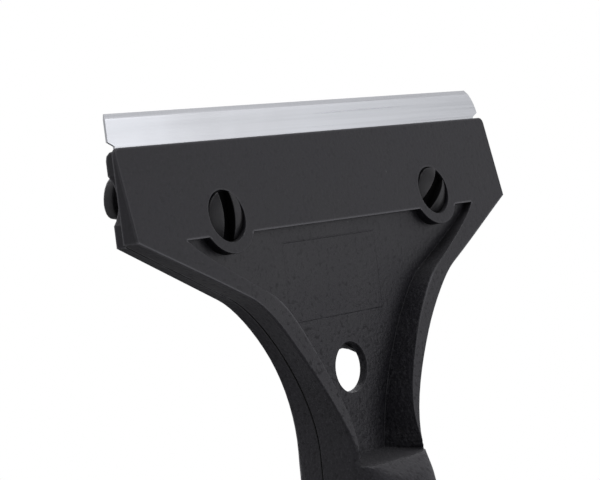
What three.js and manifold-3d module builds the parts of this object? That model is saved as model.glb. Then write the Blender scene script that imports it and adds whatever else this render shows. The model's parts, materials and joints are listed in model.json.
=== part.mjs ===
// Window scraper with a wide steel blade. The handle is moulded in two halves, and two slotted
// screws with wing nuts draw the halves together on the blade. Millimetres, +Z up along the
// handle, +X along the blade, -Y the flush front. The origin is the middle of the flat butt.
import * as THREE from "three";
import { mergeVertices } from "three/addons/utils/BufferGeometryUtils.js";
import Module from "manifold-3d";

const wasm = await Module();
wasm.setup();

// Handle outline, seen from the front
const handleHeight = 194.75; // butt to the front lip
const headSide = 14.75; // straight side of the head
const headCorner = 1; // rounded top corners
const shoulderRun = 22.9; // sloped shoulder, across
const shoulderDrop = 10.7; // sloped shoulder, down
const shoulderSweep = 7.6; // how far the shoulder's slope leads the flank curve
const neckHeight = 142; // where the handle is narrowest
const neckWidth = 18.9;
const neckSweep = 10.4; // how far the flank curve runs straight above the neck
const throatSweep = 9; // and below it
const throatRun = 11; // a finger's width under the shelf
const gripHeight = 72; // where the palm swell is widest
const gripWidth = 26.6;
const gripSweep = 30; // how far the palm swell runs straight
const buttWidth = 22;
const buttSweep = 26; // how far the butt's sides run straight

// Handle depth, front and rear of the parting plane
const lipThickness = 0.59;
const wedgeAngle = 10; // degrees between the head's front face and the parting plane
const waistShare = 0.44; // the waist's place, from the neck up to the head's corners
const bendFront = 5.25; // where the straight shoulder ends
const waistFront = 5.7;
const rimFront = 7.2; // where the rims start to sweep forward to the shelf
const shelfFront = 8.2;
const rollFront = 12.4; // under the shelf's rolled edge
const throatFront = 13; // a finger's width lower
const gripFront = 12.4;
const buttFront = 10.4;
const rimFlare = 2; // front edges past the parting line at the waist
const jawThickness = 2.2; // rear jaw at the shoulder
const jawLip = 2.1; // rear jaw along the blade
const jawRoll = 1.3; // radius of the rear jaw's lip
const jawInset = 0.9; // rear jaw's ends inside the front's
const bendRear = 2.8;
const waistRear = 3.2;
const neckRear = 5.7;
const gripRear = 9.4;
const buttRear = 8.6;

// Rounding of the long edges
const headRound = 0.25;
const shoulderRound = 0.35;
const waistRound = 0.45;
const rimRound = 0.7;
const shelfRound = 1.8;
const neckRound = 7.6; // front, under the shelf
const gripRound = 9;
const buttRound = 2;
const roundLimit = 0.82; // largest share of a section's half width or depth that is round

// Moulding
const wall = 2.2;
const partingGap = 0.2;
const buttThickness = 6;
const buttSeam = 0.3;
const rearDrop = 0.45; // the rear jaw ends this far below the front lip

// Front panel
const webThickness = 1.3;
const webAtStep = 1.7;
const panelDrop = 15.25; // front lip to the panel's top step
const rimAtStep = 9.8; // panel's edges in from the parting line
const rimAtCorner = 7.9; // a little under the step
const rimAtBend = 4.4;
const rimAtWaist = 2.4;
const rimAtFoot = 2.4;
const rimAtShelf = 3.3;
const cornerDrop = 1.9; // step to where the rims' edges turn along the shoulders
const draftAtRoll = 0.6; // spread of the recess's sides for each unit of depth
const draftAtShelf = 0.44;
const draftAtFoot = 0.21;
const draftAtWaist = 0.16;
const rimSweep = 4.2; // height over the shelf where the rims sweep forward
const shelfDrop = 2; // neck to the shelf, at the web
const shelfDepth = 6.6; // web to the shelf's rolled edge
const shelfFall = 1; // fall of the shelf to its rolled edge
const shelfRoll = 3.8; // fall of the rolled edge
const hangHoleRise = 14.6; // shelf to the hanging hole
const hangHoleRadius = 4.3;
const hangHoleTaper = 0.3;

// Rear window and panel
const archRadius = 11.3; // rounded top of the window
const archRise = 3.3; // hanging hole to the window's top
const rearWeb = 1.3;

// Blade
const bladeThickness = 0.4;
const bladeProud = 5.3; // cutting edge over the front lip
const bladeHeight = 14.5;
const bladeLength = 99.4;
const bladeShift = -0.57; // the blade is clamped a little off the middle
const bladeMargin = 0.2; // head past a blade in the middle, at each end
const bladeCorner = 3; // one corner of each long edge is rounded off, along the edge
const bladeCornerBulge = 0.9; // how far the rounding leaves the straight
const bladeNotch = 1.4;
const bladeNotchDrop = 0.7;
const bladeShoulder = 4.3; // long edge to the notch
const bladeBevel = 0.8;
const bladeEdge = 0.06; // thickness left at the cutting edge
const bladeFit = 0.1;

// Clamp screws and wing nuts
const screwInset = 21.6; // head's end to the screw
const screwDrop = 12.25; // front lip to the screws' line
const screwHole = 4.24; // radius of the counterbore that shows on the front
const screwBoss = 6.1;
const headFit = 0.2;
const shankRadius = 2.4;
const shankFit = 0.35;
const ledge = 0.9; // front half left under the screw head
const seatGap = 0.12;
const headRim = 1.35;
const headDome = 0.9;
const slotWidth = 2.6;
const slotDepth = 1.9;
const leftSlotTurn = 88; // degrees from the blade's line
const rightSlotTurn = 43;
const screwTip = 1.4; // screw end past the wing nut
const tipChamfer = 0.6;
const bandRadius = 6.8; // raised band that joins the two nut seats
const bandHeight = 0.6;
const washerRadius = 5.4;
const washerThickness = 0.9;
const hubRadius = 5.6;
const hubTopRadius = 4.7;
const hubHeight = 5;
const insertRadius = 3.5;
const insertFit = 0.08;
const threadFit = 0.2;
const insertFlange = 0.6;
const wingReach = 17.2;
const wingWidth = 7.1;
const wingTip = 2.2; // length of the rounded ends
const wingWaist = 4.8;
const wingThickness = 2.2;
const wingDrop = 0.8; // hub's top over the wings
const wingRound = 0.6;
const leftWingTurn = -20; // degrees from the blade's line
const rightWingTurn = 35;

// Finger notches at the rear jaw's ends, and the tongue at the rear half's foot
const notchHeight = 7.6;
const notchDepth = 1.6;
const notchDrop = 7.85; // front lip to the middle of the notches
const tongueWidth = 10;
const tongueThickness = 2;
const tongueLength = 3;
const tongueFit = 0.3;

// Heights and planes that follow from the sizes
const bladeHalf = bladeLength / 2;
const headHalf = bladeHalf + bladeMargin;
const headWidth = 2 * headHalf;
const shoulderTop = handleHeight - headSide;
const shoulderEnd = shoulderTop - shoulderDrop;
const shoulderHalf = headHalf - shoulderRun;
const rearTop = handleHeight - rearDrop;
const rearFoot = buttThickness + buttSeam;
const frontFace = -partingGap / 2;
const wedgeSlope = Math.tan(THREE.MathUtils.degToRad(wedgeAngle));
const shoulderFront = lipThickness + headSide * wedgeSlope;
const shelfHeight = neckHeight - shelfDrop;
const shelfFoot = shelfHeight - shelfFall;
const rollFoot = shelfFoot - shelfRoll;
const throatHeight = rollFoot - throatRun;
const rimFoot = shelfHeight + rimSweep;
const hangHoleHeight = shelfHeight + hangHoleRise;
const waistHeight = THREE.MathUtils.lerp(neckHeight, shoulderTop, waistShare);
const panelTop = handleHeight - panelDrop;
const webFace = frontFace - webThickness;
const screwHeight = handleHeight - screwDrop;
const screwSpread = headWidth - 2 * screwInset;
const bladeTop = handleHeight + bladeProud;
const bladeFoot = bladeTop - bladeHeight;
const bladeFront = frontFace + bladeFit;
const bladeBack = bladeFront + bladeThickness;
const bandFace = jawThickness + bandHeight;
const washerFoot = bandFace + seatGap;
const hubFoot = washerFoot + washerThickness + seatGap;
const hubTop = hubFoot + hubHeight;
const screwEnd = hubTop + screwTip;
const headSeat = frontFace - ledge - seatGap;
const jawHalf = headHalf - jawInset;
const beyond = 20; // cutting tools reach this far past what they cut

// Facets
const cornerSteps = 4;
const flankSteps = 16;
const shoulderSteps = 5;
const shelfSteps = 12;
const throatSteps = 9;
const gripSteps = 4;
const buttSteps = 3;
const lipSteps = 3;
const domeSteps = 5;
const wingSteps = 6;
const rollSteps = 3;
const curveSteps = 8;
const roundSides = 40;

// Solids for cutting and joining
function toSolid(geometry) {
  const bare = geometry.index ? geometry.toNonIndexed() : geometry.clone();
  bare.deleteAttribute("normal");
  bare.deleteAttribute("uv");
  const merged = mergeVertices(bare, 1e-5);
  const mesh = new wasm.Mesh({
    numProp: 3,
    vertProperties: new Float32Array(merged.attributes.position.array),
    triVerts: new Uint32Array(merged.index.array),
  });
  return new wasm.Manifold(mesh);
}

function toGeometry(solid) {
  const mesh = solid.getMesh();
  const geometry = new THREE.BufferGeometry();
  geometry.setAttribute("position", new THREE.BufferAttribute(new Float32Array(mesh.vertProperties), 3));
  geometry.setIndex(new THREE.BufferAttribute(new Uint32Array(mesh.triVerts), 1));
  const flat = geometry.toNonIndexed();
  flat.computeVertexNormals();
  return flat;
}

// A shape drawn in X and Z, from one depth to another
function plate(shape, yFrom, yTo) {
  const geometry = new THREE.ExtrudeGeometry(shape, {
    depth: yTo - yFrom,
    bevelEnabled: false,
    curveSegments: curveSteps,
  });
  geometry.rotateX(Math.PI / 2);
  geometry.translate(0, yTo, 0);
  return toSolid(geometry);
}

// A shape drawn in Y and Z, as wide as the head and more
function profile(shape) {
  const width = headWidth + 2 * beyond;
  const geometry = new THREE.ExtrudeGeometry(shape, { depth: width, bevelEnabled: false });
  const turn = new THREE.Matrix4().makeBasis(
    new THREE.Vector3(0, 1, 0),
    new THREE.Vector3(0, 0, 1),
    new THREE.Vector3(1, 0, 0),
  );
  geometry.applyMatrix4(turn);
  geometry.translate(-width / 2, 0, 0);
  return toSolid(geometry);
}

function block(width, yFrom, yTo, zFrom, zTo) {
  const geometry = new THREE.BoxGeometry(width, yTo - yFrom, zTo - zFrom);
  geometry.translate(0, (yFrom + yTo) / 2, (zFrom + zTo) / 2);
  return toSolid(geometry);
}

// A round post or hole along Y, which may taper
function post(frontRadius, rearRadius, yFrom, yTo) {
  const geometry = new THREE.CylinderGeometry(rearRadius, frontRadius, yTo - yFrom, roundSides);
  geometry.translate(0, (yFrom + yTo) / 2, 0);
  return toSolid(geometry);
}

// A turned piece about Y, from radius and depth pairs that start and end on the axis
function turned(pairs) {
  const points = pairs.map(([radius, y]) => new THREE.Vector2(radius, y));
  return toSolid(new THREE.LatheGeometry(points, roundSides));
}

function outline(points) {
  return new THREE.Shape(points.map(([x, z]) => new THREE.Vector2(x, z)));
}

// A value that runs smoothly along the handle through its stops
function along(stops) {
  const heights = stops.map(([height]) => height);
  const values = stops.map(([, value]) => value);
  const curve = new THREE.CubicInterpolant(heights, values, 1);
  return (z) => curve.evaluate(z)[0];
}

const handleFront = along([
  [0, buttFront],
  [gripHeight, gripFront],
  [throatHeight, throatFront],
  [rollFoot, rollFront],
  [shelfHeight, shelfFront],
  [rimFoot, rimFront],
  [waistHeight, waistFront],
  [shoulderEnd, bendFront],
  [shoulderTop, shoulderFront],
]);
const handleRear = along([
  [0, buttRear],
  [gripHeight, gripRear],
  [shelfHeight, neckRear],
  [waistHeight, waistRear],
  [shoulderEnd, bendRear],
  [shoulderTop, jawThickness],
]);
const flare = along([
  [0, 0],
  [shelfHeight, 0],
  [waistHeight, rimFlare],
  [shoulderTop, 0],
]);
const rearRound = along([
  [0, gripRound],
  [(gripHeight + neckHeight) / 2, gripRound],
  [shelfHeight, shelfRound],
  [waistHeight, waistRound],
  [shoulderEnd, shoulderRound],
  [shoulderTop, headRound],
]);
const frontRound = along([
  [0, gripRound],
  [(gripHeight + neckHeight) / 2, gripRound],
  [rollFoot, neckRound],
  [shelfHeight, shelfRound],
  [rimFoot, rimRound],
  [waistHeight, waistRound],
  [shoulderEnd, shoulderRound],
  [shoulderTop, headRound],
]);

function frontDepth(z) {
  return z > shoulderTop ? lipThickness + (handleHeight - z) * wedgeSlope : handleFront(z);
}

function rearDepth(z) {
  if (z <= shoulderTop) return handleRear(z);
  const rolled = THREE.MathUtils.clamp(z - (rearTop - jawRoll), 0, jawRoll);
  const roll = jawRoll - Math.sqrt(jawRoll ** 2 - rolled ** 2);
  return THREE.MathUtils.mapLinear(z, shoulderTop, rearTop, jawThickness, jawLip) - roll;
}

function frontFlare(z) {
  return z > shelfHeight && z < shoulderTop ? flare(z) : 0;
}

// A curve of the outline from one height to the next, straight along the handle at both ends
function swell(halfFrom, zFrom, leadFrom, halfTo, zTo, leadTo) {
  return new THREE.CubicBezierCurve(
    new THREE.Vector2(halfFrom, zFrom),
    new THREE.Vector2(halfFrom, zFrom + leadFrom),
    new THREE.Vector2(halfTo, zTo - leadTo),
    new THREE.Vector2(halfTo, zTo),
  );
}

// The outline as heights and half widths, from the butt to the lip
function outlineStations() {
  const slope = new THREE.Vector2(shoulderRun, shoulderDrop).normalize();
  const lower = swell(buttWidth / 2, 0, buttSweep, gripWidth / 2, gripHeight, gripSweep);
  const throat = swell(gripWidth / 2, gripHeight, gripSweep, neckWidth / 2, neckHeight, throatSweep);
  const flank = new THREE.CubicBezierCurve(
    new THREE.Vector2(neckWidth / 2, neckHeight),
    new THREE.Vector2(neckWidth / 2, neckHeight + neckSweep),
    new THREE.Vector2(shoulderHalf - slope.x * shoulderSweep, shoulderEnd - slope.y * shoulderSweep),
    new THREE.Vector2(shoulderHalf, shoulderEnd),
  );
  const curves = [
    ...lower.getPoints(gripSteps),
    ...throat.getPoints(throatSteps).slice(1),
    ...flank.getPoints(flankSteps).slice(1),
  ];
  const stations = curves.map((point) => [point.y, point.x]);
  for (let step = 1; step <= shoulderSteps; step += 1) {
    const share = step / shoulderSteps;
    stations.push([shoulderEnd + share * shoulderDrop, shoulderHalf + share * shoulderRun]);
  }
  stations.push([rearTop - jawRoll, headHalf]);
  for (let step = 0; step <= lipSteps; step += 1) {
    const angle = (step / lipSteps) * Math.PI / 2;
    const draw = headCorner * (1 - Math.cos(angle));
    stations.push([handleHeight - headCorner * (1 - Math.sin(angle)), headHalf - draw]);
  }
  return stations;
}

const stations = outlineStations();

function halfWidthAt(z) {
  const above = stations.findIndex(([height]) => height >= z);
  if (above <= 0) return stations[above === 0 ? 0 : stations.length - 1][1];
  const [z0, w0] = stations[above - 1];
  const [z1, w1] = stations[above];
  return THREE.MathUtils.mapLinear(z, z0, z1, w0, w1);
}

// One ring of a moulded half: straight parting face, flaring sides, rounded edges and a flat front
function ring(z, halfWidth, sideFlare, depth, corner, face) {
  const half = halfWidth + sideFlare;
  const rx = Math.min(corner, half * roundLimit);
  const ry = Math.min(corner, depth * roundLimit);
  const leftEdge = new THREE.EllipseCurve(rx - half, ry - depth, rx, ry, Math.PI, Math.PI * 1.5);
  const rightEdge = new THREE.EllipseCurve(half - rx, ry - depth, rx, ry, Math.PI * 1.5, Math.PI * 2);
  const points = [
    new THREE.Vector2(-halfWidth, face),
    ...leftEdge.getPoints(cornerSteps),
    ...rightEdge.getPoints(cornerSteps),
    new THREE.Vector2(halfWidth, face),
  ];
  return points.map((point) => new THREE.Vector3(point.x, point.y, z));
}

// A closed skin over rings of equal length, given from the lowest to the highest
function loft(rings) {
  const count = rings[0].length;
  const positions = rings.flat().flatMap((point) => [point.x, point.y, point.z]);
  const faces = [];
  for (let level = 0; level + 1 < rings.length; level += 1) {
    for (let step = 0; step < count; step += 1) {
      const a = level * count + step;
      const b = level * count + ((step + 1) % count);
      faces.push(a, b, b + count, a, b + count, a + count);
    }
  }
  const top = (rings.length - 1) * count;
  for (let step = 1; step + 1 < count; step += 1) {
    faces.push(0, step + 1, step);
    faces.push(top, top + step, top + step + 1);
  }
  const geometry = new THREE.BufferGeometry();
  geometry.setAttribute("position", new THREE.Float32BufferAttribute(positions, 3));
  geometry.setIndex(faces);
  return toSolid(geometry);
}

// The heights of the rings between two heights, with finer ones at the butt's foot and the shelf
function heightsBetween(zFrom, zTo) {
  const heights = stations.map(([z]) => z);
  for (let step = 1; step <= buttSteps; step += 1) {
    heights.push(buttRound * (1 - Math.cos((step / buttSteps) * Math.PI / 2)));
  }
  for (let step = 0; step <= shelfSteps; step += 1) {
    heights.push(THREE.MathUtils.lerp(rollFoot, rimFoot, step / shelfSteps));
  }
  const between = heights.filter((z) => z > zFrom && z < zTo).sort((a, b) => a - b);
  return [zFrom, ...between, zTo];
}

// How far the butt's rounded foot draws in at a height
function footInset(z) {
  return z < buttRound ? buttRound - Math.sqrt(buttRound ** 2 - (buttRound - z) ** 2) : 0;
}

// A moulded half between two heights. side is -1 for the front and +1 for the rear, face is the
// distance of its parting face, and inset draws the whole skin inwards to make a cavity.
function mouldedHalf(side, zFrom, zTo, face, inset = 0) {
  const rings = heightsBetween(zFrom, zTo).map((z) => {
    const draw = inset + footInset(z);
    const depth = (side < 0 ? frontDepth(z) : rearDepth(z)) - draw;
    const round = Math.max((side < 0 ? frontRound(z) : rearRound(z)) - draw / 2, headRound);
    return ring(z, halfWidthAt(z) - draw, side < 0 ? frontFlare(z) : 0, depth, round, -face);
  });
  if (side > 0) {
    for (const point of rings.flat()) point.set(-point.x, -point.y, point.z);
  }
  return loft(rings);
}

// An opening that follows the outline at a given distance inside it
function insetShape(zFrom, zTo, rimAt) {
  const right = heightsBetween(zFrom, zTo).map((z) => [halfWidthAt(z) - rimAt(z), z]);
  const left = right.map(([x, z]) => [-x, z]).reverse();
  return outline([...right, ...left]);
}

// Moves a piece that is drawn about the origin to a screw
function atScrew(solid, side) {
  return solid.translate(side * screwSpread / 2, 0, screwHeight);
}

function cutAtScrews(solid, cutter) {
  return solid.subtract(atScrew(cutter, -1)).subtract(atScrew(cutter, 1));
}

// Front half: flush wedge-shaped head, recessed panel between rims, shelf, hollow grip and butt
function frontHandle() {
  const rimAt = along([
    [rollFoot, rimAtShelf],
    [shelfHeight, rimAtShelf],
    [rimFoot, rimAtFoot],
    [waistHeight, rimAtWaist],
    [shoulderEnd, rimAtBend],
    [panelTop - cornerDrop, rimAtCorner],
    [panelTop, rimAtStep],
  ]);
  const draftAt = along([
    [rollFoot, draftAtRoll],
    [shelfHeight, draftAtShelf],
    [rimFoot, draftAtFoot],
    [waistHeight, draftAtWaist],
    [panelTop, 0],
  ]);
  const webAt = along([
    [rollFoot, webThickness],
    [hangHoleHeight, webThickness],
    [panelTop, webAtStep],
  ]);
  const recess = heightsBetween(rollFoot, panelTop).map((z) => {
    const floor = halfWidthAt(z) - rimAt(z);
    const mouth = floor + draftAt(z) * beyond;
    const face = frontFace - webAt(z);
    return [
      new THREE.Vector3(-floor, face, z),
      new THREE.Vector3(-mouth, face - beyond, z),
      new THREE.Vector3(mouth, face - beyond, z),
      new THREE.Vector3(floor, face, z),
    ];
  });
  const shelfEdge = webFace - shelfDepth;
  const rollBend = shelfFoot - (rollFront + shelfEdge) * shelfFall / shelfDepth;
  const sunk = new THREE.Shape();
  sunk.moveTo(webFace, shelfHeight);
  sunk.lineTo(webFace, handleHeight + beyond);
  sunk.lineTo(webFace - beyond, handleHeight + beyond);
  sunk.lineTo(webFace - beyond, rollFoot);
  sunk.lineTo(-rollFront, rollFoot);
  sunk.quadraticCurveTo(-rollFront, rollBend, shelfEdge, shelfFoot);
  const bossed = loft(recess).intersect(profile(sunk));
  const panel = cutAtScrews(bossed, post(screwBoss, screwBoss, -beyond * 2, beyond));
  const cavityTop = rollFoot - wall;
  const holeMouth = hangHoleRadius + hangHoleTaper;
  const holeEnd = hangHoleRadius - hangHoleTaper;
  const hangHole = post(holeMouth, holeEnd, webFace - webThickness, 0).translate(0, 0, hangHoleHeight);
  const slotFoot = buttThickness - tongueLength - tongueFit;
  const tongueSlot = block(
    tongueWidth + 2 * tongueFit,
    buttRear / 2 - tongueThickness / 2 - tongueFit,
    buttRear / 2 + tongueThickness / 2 + tongueFit,
    slotFoot,
    buttThickness + beyond,
  );
  const body = mouldedHalf(-1, 0, handleHeight, partingGap / 2)
    .add(mouldedHalf(-1, 0, buttThickness, -partingGap))
    .add(mouldedHalf(1, 0, buttThickness, -partingGap))
    .subtract(mouldedHalf(-1, buttThickness, cavityTop, -partingGap, wall))
    .subtract(panel)
    .subtract(hangHole)
    .subtract(tongueSlot);
  const bored = cutAtScrews(body, post(screwHole, screwHole, -beyond, frontFace - ledge));
  return cutAtScrews(bored, post(shankRadius + shankFit, shankRadius + shankFit, -beyond, beyond));
}

// Rear half: thin jaw over the blade, open frame behind the hanging hole, hollow grip and tongue
function rearHandle() {
  const frameWall = () => wall;
  const windowFoot = shelfHeight + wall;
  const archTop = hangHoleHeight + archRise;
  const frame = insetShape(windowFoot, shoulderEnd, frameWall);
  const arch = post(archRadius, archRadius, -beyond, beyond).translate(0, 0, archTop - archRadius);
  const window = plate(frame, -beyond, beyond).intersect(arch);
  const rearPanel = plate(frame, partingGap / 2 + rearWeb, beyond);
  const pocket = block(headWidth + beyond, -beyond, bladeBack + bladeFit, bladeFoot - bladeFit, bladeTop);
  const notchRadius = (notchHeight ** 2 / 4 + notchDepth ** 2) / (2 * notchDepth);
  const notch = post(notchRadius, notchRadius, -beyond, beyond).translate(0, 0, handleHeight - notchDrop);
  const notchPlace = jawHalf - notchDepth + notchRadius;
  const bandShape = new THREE.Shape();
  bandShape.absarc(screwSpread / 2, 0, bandRadius, -Math.PI / 2, Math.PI / 2, false);
  bandShape.absarc(-screwSpread / 2, 0, bandRadius, Math.PI / 2, Math.PI * 1.5, false);
  const band = plate(bandShape, bladeBack + bladeFit, bandFace).translate(0, 0, screwHeight);
  const tongueMiddle = buttRear / 2;
  const tongue = block(
    tongueWidth,
    tongueMiddle - tongueThickness / 2,
    tongueMiddle + tongueThickness / 2,
    buttThickness - tongueLength,
    rearFoot + wall / 2,
  );
  const body = mouldedHalf(1, rearFoot, rearTop, partingGap / 2)
    .subtract(mouldedHalf(1, rearFoot + wall, shelfHeight, -partingGap, wall))
    .subtract(window)
    .subtract(rearPanel)
    .subtract(pocket)
    .subtract(notch.translate(notchPlace, 0, 0))
    .subtract(notch.translate(-notchPlace, 0, 0))
    .intersect(block(2 * jawHalf, -beyond, beyond, 0, handleHeight))
    .add(band)
    .add(tongue);
  return cutAtScrews(body, post(shankRadius + shankFit, shankRadius + shankFit, -beyond, beyond));
}

// Blade: the same shape either way up, with notched ends, one rounded corner to each long edge,
// a ground cutting edge on top and a blunt edge below
function scraperBlade() {
  const middle = (bladeTop + bladeFoot) / 2;
  const widest = bladeHeight / 2 - bladeShoulder;
  const cornerFoot = new THREE.Vector2(bladeHalf, widest);
  const cornerTop = new THREE.Vector2(bladeHalf - bladeCorner, bladeHeight / 2);
  const chord = cornerTop.clone().sub(cornerFoot);
  const outward = new THREE.Vector2(chord.y, -chord.x).setLength(bladeCornerBulge);
  const bend = cornerFoot.clone().add(cornerTop).divideScalar(2).add(outward);
  const corner = new THREE.QuadraticBezierCurve(cornerFoot, bend, cornerTop).getPoints(cornerSteps);
  const right = [
    [bladeHalf, -bladeHeight / 2],
    [bladeHalf, -widest],
    [bladeHalf - bladeNotch, bladeNotchDrop - widest],
    [bladeHalf - bladeNotch, widest - bladeNotchDrop],
    ...corner.map((point) => [point.x, point.y]),
  ];
  const around = [...right, ...right.map(([x, z]) => [-x, -z])];
  const core = (bladeFront + bladeBack) / 2;
  const ground = profile(outline([
    [bladeFront, bladeFoot],
    [bladeBack, bladeFoot],
    [bladeBack, bladeTop - bladeBevel],
    [core + bladeEdge / 2, bladeTop],
    [core - bladeEdge / 2, bladeTop],
    [bladeFront, bladeTop - bladeBevel],
  ]));
  return plate(outline(around), -beyond, beyond).translate(bladeShift, 0, middle).intersect(ground);
}

// Clamp screw: domed head with a coin slot, shank and chamfered tip
function clampScrew(slotTurn) {
  const headRadius = screwHole - headFit;
  const rimFace = headSeat - headRim;
  const dome = [];
  for (let step = 0; step <= domeSteps; step += 1) {
    const angle = (step / domeSteps) * Math.PI / 2;
    dome.push([headRadius * Math.sin(angle), rimFace - headDome * Math.cos(angle)]);
  }
  dome[0][0] = 0;
  const body = turned([
    ...dome,
    [headRadius, headSeat],
    [shankRadius, headSeat],
    [shankRadius, screwEnd - tipChamfer],
    [shankRadius - tipChamfer, screwEnd],
    [0, screwEnd],
  ]);
  const crown = rimFace - headDome;
  const slot = block(beyond, crown - beyond, crown + slotDepth, -slotWidth / 2, slotWidth / 2);
  return body.subtract(slot.rotate([0, -slotTurn, 0]));
}

// Wing nut: tapered hub with two flat wings, bored for its threaded insert
function wingNut() {
  const hub = turned([
    [0, hubFoot],
    [hubRadius, hubFoot],
    [hubTopRadius, hubTop],
    [0, hubTop],
  ]);
  const half = wingWidth / 2;
  const waist = wingWaist / 2;
  const end = wingReach - wingTip;
  const wings = new THREE.Shape();
  wings.moveTo(end, -half);
  wings.absellipse(end, 0, wingTip, half, -Math.PI / 2, Math.PI / 2, false);
  wings.quadraticCurveTo(wingReach / 2, waist, 0, waist);
  wings.quadraticCurveTo(-wingReach / 2, waist, -end, half);
  wings.absellipse(-end, 0, wingTip, half, Math.PI / 2, Math.PI * 1.5, false);
  wings.quadraticCurveTo(-wingReach / 2, -waist, 0, -waist);
  wings.quadraticCurveTo(wingReach / 2, -waist, end, -half);
  const flat = new THREE.ExtrudeGeometry(wings, {
    depth: wingThickness - 2 * wingRound,
    bevelThickness: wingRound,
    bevelSize: wingRound,
    bevelOffset: -wingRound,
    bevelSegments: rollSteps,
    curveSegments: wingSteps,
  });
  flat.rotateX(Math.PI / 2);
  flat.translate(0, hubTop - wingDrop - wingRound, 0);
  const bore = insertRadius + insertFit;
  return hub.add(toSolid(flat)).subtract(post(bore, bore, -beyond, beyond));
}

// Threaded insert: a plain sleeve, its thread left out
function nutInsert() {
  const bore = shankRadius + threadFit;
  return post(insertRadius, insertRadius, hubFoot, hubTop - insertFlange)
    .subtract(post(bore, bore, -beyond, beyond));
}

function washer() {
  const bore = shankRadius + shankFit;
  return post(washerRadius, washerRadius, washerFoot, washerFoot + washerThickness)
    .subtract(post(bore, bore, -beyond, beyond));
}

const finishes = {
  plastic: { color: 0x363639, roughness: 0.55, metalness: 0 },
  nutPlastic: { color: 0x2c2c2e, roughness: 0.5, metalness: 0 },
  screw: { color: 0x222223, roughness: 0.4, metalness: 0.6 },
  steel: { color: 0xc4c7cb, roughness: 0.3, metalness: 1 },
  zinc: { color: 0xa9acae, roughness: 0.4, metalness: 1 },
  brass: { color: 0xb08d4a, roughness: 0.4, metalness: 1 },
};

const scraper = new THREE.Group();

function place(name, solid, finish, parent = scraper) {
  const mesh = new THREE.Mesh(toGeometry(solid), new THREE.MeshStandardMaterial(finishes[finish]));
  mesh.name = name;
  parent.add(mesh);
}

place("front_handle", frontHandle(), "plastic");
place("rear_handle", rearHandle(), "plastic");
place("blade", scraperBlade(), "steel");
for (const [name, side, slotTurn, wingTurn] of [
  ["left", -1, leftSlotTurn, leftWingTurn],
  ["right", 1, rightSlotTurn, rightWingTurn],
]) {
  const clamp = new THREE.Group();
  clamp.position.set(side * screwSpread / 2, 0, screwHeight);
  place(`${name}_screw`, clampScrew(slotTurn), "screw", clamp);
  place(`${name}_washer`, washer(), "zinc", clamp);
  place(`${name}_wing_nut`, wingNut().rotate([0, -wingTurn, 0]), "nutPlastic", clamp);
  place(`${name}_nut_insert`, nutInsert(), "brass", clamp);
  scraper.add(clamp);
}

export default scraper;
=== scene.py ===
import json
import math

import bmesh
import bpy
import numpy as np
from mathutils import Matrix, Vector

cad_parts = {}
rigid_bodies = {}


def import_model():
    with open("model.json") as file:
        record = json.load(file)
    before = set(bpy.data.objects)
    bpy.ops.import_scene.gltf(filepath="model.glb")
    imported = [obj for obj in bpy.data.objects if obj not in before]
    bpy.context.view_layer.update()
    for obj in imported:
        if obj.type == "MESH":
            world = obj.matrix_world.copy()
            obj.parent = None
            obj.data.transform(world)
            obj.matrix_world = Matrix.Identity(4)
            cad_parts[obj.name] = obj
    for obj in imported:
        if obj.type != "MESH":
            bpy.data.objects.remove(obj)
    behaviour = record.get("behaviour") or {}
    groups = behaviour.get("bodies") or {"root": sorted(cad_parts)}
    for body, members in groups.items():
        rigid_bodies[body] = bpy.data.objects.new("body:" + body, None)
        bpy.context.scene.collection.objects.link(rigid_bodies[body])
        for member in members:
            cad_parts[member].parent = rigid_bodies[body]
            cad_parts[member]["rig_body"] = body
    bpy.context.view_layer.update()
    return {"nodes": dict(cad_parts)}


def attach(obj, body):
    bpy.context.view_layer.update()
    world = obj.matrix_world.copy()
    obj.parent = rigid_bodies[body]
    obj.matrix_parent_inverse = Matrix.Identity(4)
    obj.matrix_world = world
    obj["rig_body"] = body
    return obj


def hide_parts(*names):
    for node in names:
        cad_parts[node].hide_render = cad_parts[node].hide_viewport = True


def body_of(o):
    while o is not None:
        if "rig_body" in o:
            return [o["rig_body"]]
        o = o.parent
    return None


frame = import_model()
print("stage: frame loaded")

mm = 0.001
white = (1, 1, 1, 1)


# Shader helpers

def addNode(tree, kind, values=None, **settings):
    node = tree.nodes.new(kind)
    for key, value in settings.items():
        setattr(node, key, value)
    for socket, value in (values or {}).items():
        if isinstance(value, bpy.types.NodeSocket):
            tree.links.new(value, node.inputs[socket])
        else:
            node.inputs[socket].default_value = value
    return node


def newGroup(name, inputs, outputs):
    tree = bpy.data.node_groups.new(name, "ShaderNodeTree")
    for socketName, value in inputs.items():
        socket = tree.interface.new_socket(socketName, in_out="INPUT", socket_type="NodeSocketFloat")
        socket.default_value = value
    for socketName in outputs:
        tree.interface.new_socket(socketName, in_out="OUTPUT", socket_type="NodeSocketFloat")
    return tree, addNode(tree, "NodeGroupInput").outputs, addNode(tree, "NodeGroupOutput")


def useGroup(tree, group, values):
    return addNode(tree, "ShaderNodeGroup", values, node_tree=group).outputs


# one value worked out from two others
def sums(tree, operation, a, b=0.0, clamp=False):
    return addNode(tree, "ShaderNodeMath", {0: a, 1: b}, operation=operation, use_clamp=clamp).outputs[0]


def product(tree, first, *others):
    for other in others:
        first = sums(tree, "MULTIPLY", first, other)
    return first


# two values added, each times its own share
def blend(tree, a, shareA, b, shareB):
    return sums(tree, "ADD", sums(tree, "MULTIPLY", a, shareA), sums(tree, "MULTIPLY", b, shareB))


# the length of the long side of a right triangle
def span(tree, a, b):
    return sums(tree, "SQRT", sums(tree, "ADD", product(tree, a, a), product(tree, b, b)))


def remap(tree, value, low, high, toLow, toHigh, kind="LINEAR"):
    node = addNode(tree, "ShaderNodeMapRange", {0: value, 1: low, 2: high, 3: toLow, 4: toHigh},
                   interpolation_type=kind)
    return node.outputs[0]


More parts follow.
